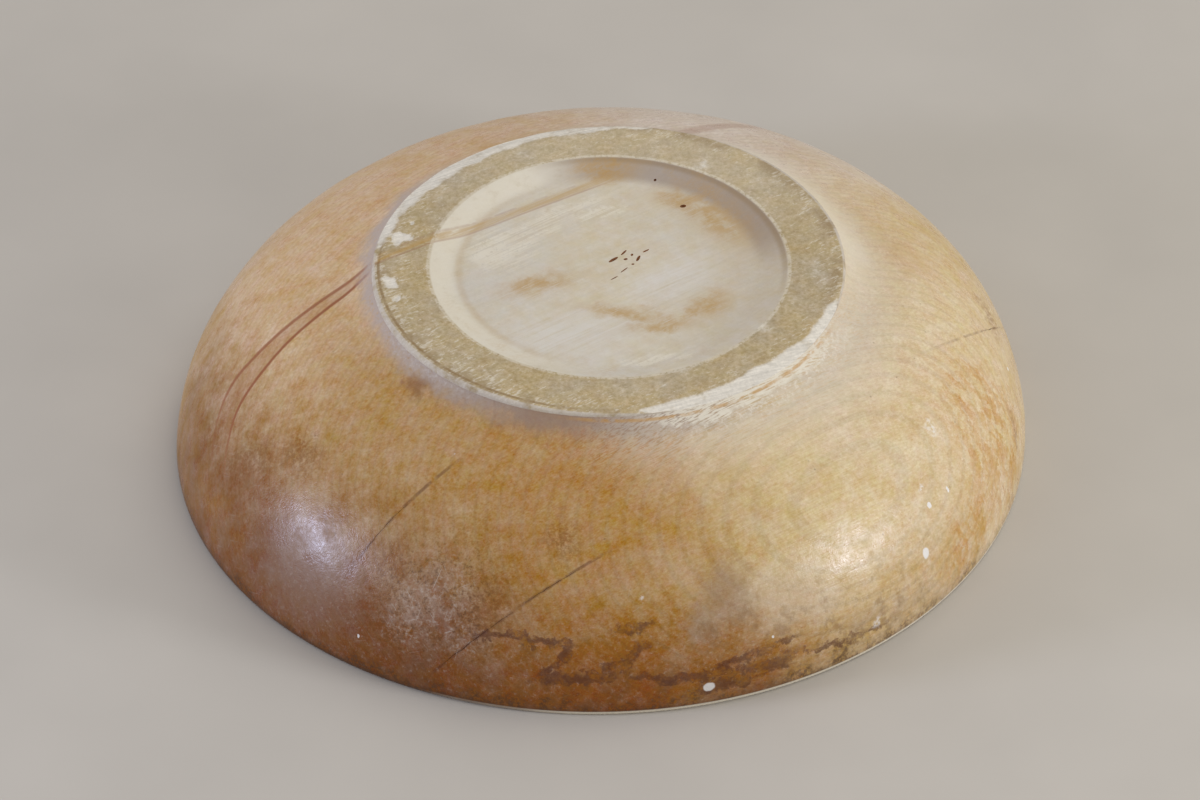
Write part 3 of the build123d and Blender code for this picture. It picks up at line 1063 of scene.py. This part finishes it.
def blade(name, lean, offset, sign, ends):
    """Make a thin wedge that will cut a check into the belly, along a sheet of the grain."""
    bpy.ops.object.select_all(action="DESELECT")
    bpy.ops.mesh.primitive_grid_add(x_subdivisions=BLADE_STEPS, y_subdivisions=1, size=2)
    cutter = bpy.context.object
    cutter.name = name
    taper = cutter.vertex_groups.new(name="taper")
    sizes = bpy.context.scene.bowl_sizes
    belly_rise = HEIGHT - sizes.foot_stand / MM
    reach = sizes.belly_reach / MM
    turn = Matrix.Rotation(sizes.grain, 3, "Z")
    for vertex in cutter.data.vertices:
        share = (vertex.co.x + 1) / 2
        z = ends[0] + (ends[1] - ends[0]) * share
        radius = RIM_RADIUS - reach + reach * math.sqrt(1 - (z / belly_rise) ** 2)
        centre = turn.transposed() @ Vector((sizes.drift / MM * z / HEIGHT, 0, 0))
        across = offset - lean * z + CHECK_STRAY * noise.noise(Vector((share * 9, offset, 0)))
        wide = (across - centre.y) / (1 - sizes.oval)
        long = sign * math.sqrt(radius ** 2 - wide ** 2) * (1 + sizes.oval)
        level = Vector((long, across - centre.y, 0))
        outward = level.normalized() * (radius - RIM_RADIUS + reach) / reach ** 2
        outward = (outward + Vector((0, 0, z / belly_rise ** 2))).normalized()
        # The wedge is fat in the middle, thin at both ends and uneven on the way
        fat = math.sin(math.pi * (0.03 + 0.94 * share)) ** 0.7
        fat *= 0.55 + 0.45 * noise.noise(Vector((share * 6, offset, 5)))
        depth = BLADE_PROUD if vertex.co.y > 0 else -CHECK_DEPTH * (0.2 + 0.8 * fat)
        vertex.co = turn @ (centre + level + Vector((0, 0, z)) + outward * depth) * MM
        taper.add([vertex.index], fat, "REPLACE")
    solid = cutter.modifiers.new("width", "SOLIDIFY")
    solid.thickness = CHECK_WIDTH * MM
    solid.offset = 0.0
    solid.vertex_group = taper.name
    solid.thickness_vertex_group = CHECK_THINNEST
    only(cutter)
    bpy.ops.object.modifier_apply(modifier=solid.name)
    return cutter


def gouge(name, x, y, half_length, half_width, depth, turn):
    """Make a rough pebble that will cut a scar into the floor of the recess."""
    bpy.ops.object.select_all(action="DESELECT")
    level = HEIGHT - RECESS_DEPTH + SCAR_PROUD
    bpy.ops.mesh.primitive_ico_sphere_add(
        subdivisions=3, radius=1.0, location=(x * MM, y * MM, level * MM),
        rotation=(0, 0, math.radians(turn)), scale=(half_length * MM, half_width * MM, depth * MM))
    pebble = bpy.context.object
    pebble.name = name
    for vertex in pebble.data.vertices:
        vertex.co *= 1 + SCAR_ROUGHNESS * noise.noise(vertex.co * SCAR_RATE + Vector((x, y, 0)))
    bpy.ops.object.transform_apply(location=True, rotation=True, scale=True)
    return pebble


def cut(obj, cutters):
    """Join the cutters and cut them all out of the bowl."""
    bpy.ops.object.select_all(action="DESELECT")
    for cutter in cutters:
        cutter.select_set(True)
    bpy.context.view_layer.objects.active = cutters[0]
    bpy.ops.object.join()
    tool = bpy.context.object
    bpy.ops.object.mode_set(mode="EDIT")
    bpy.ops.mesh.select_all(action="SELECT")
    bpy.ops.mesh.normals_make_consistent(inside=False)
    bpy.ops.object.mode_set(mode="OBJECT")
    knife = obj.modifiers.new("cuts", "BOOLEAN")
    knife.operation = "DIFFERENCE"
    knife.solver = "EXACT"
    knife.material_mode = "TRANSFER"
    knife.object = tool
    only(obj)
    bpy.ops.object.modifier_apply(modifier=knife.name)
    bpy.data.objects.remove(tool, do_unlink=True)
    if len(obj.data.polygons) < FEWEST_FACES:
        raise RuntimeError("the cutters took the bowl away")


def finish_faces(obj, sizes, colours):
    """Give the bowl its three finishes, and the faces of the inside and of the foot their own."""
    for material in (old_waxed_wood, scraped_inside, dry_washed_wood):
        obj.data.materials.append(material(sizes, colours))
    mouth = (sizes.rim_radius - sizes.rim_thickness) / MM
    depth = HEIGHT - RECESS_DEPTH - sizes.floor_thickness / MM
    reach = sizes.inside_reach / MM
    for face in obj.data.polygons:
        centre = face.center / MM
        rise = min(centre.z / depth, 1.0)
        wall = mouth - reach + reach * math.sqrt(1 - rise ** 2) + WALL_MARGIN
        if centre.z < depth + FLOOR_MARGIN and centre.xy.length < wall:
            face.material_index = INSIDE_FINISH
        elif centre.xy.length < FOOT_RADIUS and centre.z > HEIGHT - FOOT_ZONE:
            face.material_index = FOOT_FINISH


def age(obj, sizes):
    """Wear the foot, dent the side, and let the bowl warp along its grain and its foot drift."""
    turn = Matrix.Rotation(sizes.grain, 4, "Z")
    warp = turn @ Matrix.Diagonal((1 + sizes.oval, 1 - sizes.oval, 1, 1)) @ turn.inverted()
    lean = Matrix.Identity(4)
    lean[0][2] = sizes.drift / sizes.height
    worn = obj.data.attributes.new("worn", "FLOAT", "POINT")
    worn.data.foreach_set("value", [foot_drop(vertex.co / MM) for vertex in obj.data.vertices])
    wear = weigh(obj, "foot_wear", lambda place: foot_drop(place) / WEAR_LIMIT)
    displace(obj, wear, -WEAR_LIMIT, "Z")
    for name, (height, breadth) in DENTS.items():
        dented = weigh(obj, name, lambda place: (place.z - DENT_START) / DENT_RISE)
        displace(obj, dented, height, cloud=breadth)
    obj.data.transform(lean @ warp)


class BOWL_OT_turn(bpy.types.Operator):
    """Turn the bowl, let it warp and wear, and finish its wood."""
    bl_idname = "bowl.turn"
    bl_label = "Turn the bowl"

    def execute(self, context):
        sizes = context.scene.bowl_sizes
        colours = context.scene.bowl_colours
        obj = spun_body("dough_bowl", section(sizes), TURN_STEPS)
        finish_faces(obj, sizes, colours)
        age(obj, sizes)
        dirt = dirty_wood(colours)
        cutters = [blade(name, *values) for name, values in CHECKS.items()]
        cutters += [gouge(f"scar_{index}", *values) for index, values in enumerate(SCARS)]
        for cutter in cutters:
            cutter.data.materials.append(dirt)
        cut(obj, cutters)
        only(obj)
        bpy.ops.object.shade_smooth_by_angle(angle=math.radians(SHARP_ANGLE))
        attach(obj, "root")
        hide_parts("bowl")
        return {"FINISHED"}


def soft_light(name, azimuth, elevation, distance, side, power, tint):
    """Add a square soft light that faces the bowl from a direction."""
    bearing = math.radians(azimuth)
    rise = math.radians(elevation)
    level = math.cos(rise)
    away = Vector((math.cos(bearing) * level, math.sin(bearing) * level, math.sin(rise)))
    target = Vector((0, 0, HEIGHT * MM / 2))
    bpy.ops.object.light_add(type="AREA", location=target + away * distance)
    light = bpy.context.object
    light.name = name
    light.rotation_euler = away.to_track_quat("Z", "Y").to_euler()
    light.data.shape = "SQUARE"
    light.data.size = side
    light.data.energy = power
    light.data.color = linear(tint)[:3]


class BOWL_OT_stage(bpy.types.Operator):
    """Set the pale floor, the soft lights and the camera."""
    bl_idname = "bowl.stage"
    bl_label = "Set the stage"

    def execute(self, context):
        settings = context.scene.bowl_stage
        bpy.ops.object.select_all(action="DESELECT")
        bpy.ops.mesh.primitive_plane_add(size=settings.floor_side, location=(0, 0, 0))
        floor = context.object
        floor.name = "floor"
        floor.data.materials.append(painted_floor(settings.floor_colour))

        world = bpy.data.worlds.new("studio")
        world.use_nodes = True
        back = world.node_tree.nodes["Background"]
        back.inputs["Color"].default_value = linear(WORLD_TINT)
        back.inputs["Strength"].default_value = settings.world_level
        context.scene.world = world
        for name, values in LIGHTS.items():
            soft_light(name, *values)

        bpy.ops.object.camera_add()
        camera = context.object
        camera.name = "camera"
        camera.matrix_world = (
            Matrix.Translation(Vector(settings.camera_place))
            @ Matrix.Rotation(math.pi / 2 - settings.camera_pitch, 4, "X")
            @ Matrix.Rotation(settings.camera_roll, 4, "Z"))
        camera.data.lens = settings.camera_lens
        camera.data.sensor_width = SENSOR_WIDTH
        camera.data.clip_end = CAMERA_REACH
        context.scene.camera = camera
        context.scene.view_settings.view_transform = "Standard"
        return {"FINISHED"}


class BOWL_PT_panel(bpy.types.Panel):
    """Sidebar panel with the steps in order."""
    bl_idname = "BOWL_PT_panel"
    bl_label = "Dough Bowl"
    bl_space_type = "VIEW_3D"
    bl_region_type = "UI"
    bl_category = "Dough Bowl"

    def draw(self, context):
        self.layout.operator(BOWL_OT_turn.bl_idname)
        self.layout.operator(BOWL_OT_stage.bl_idname)


GROUPS = (("bowl_sizes", BowlSizes), ("bowl_colours", BowlColours), ("bowl_stage", StageSettings))
CLASSES = (BowlSizes, BowlColours, StageSettings, BOWL_OT_turn, BOWL_OT_stage, BOWL_PT_panel)


def register():
    """Register the classes and hang the settings on the scene."""
    for cls in CLASSES:
        bpy.utils.register_class(cls)
    for name, group in GROUPS:
        setattr(bpy.types.Scene, name, bpy.props.PointerProperty(type=group))


def unregister():
    """Take the settings off the scene and unregister the classes."""
    for name, _ in GROUPS:
        delattr(bpy.types.Scene, name)
    for cls in reversed(CLASSES):
        bpy.utils.unregister_class(cls)


def main():
    """Build the bowl and its stage."""
    register()
    bpy.ops.bowl.turn()
    bpy.ops.bowl.stage()


if __name__ == "__main__":
    main()
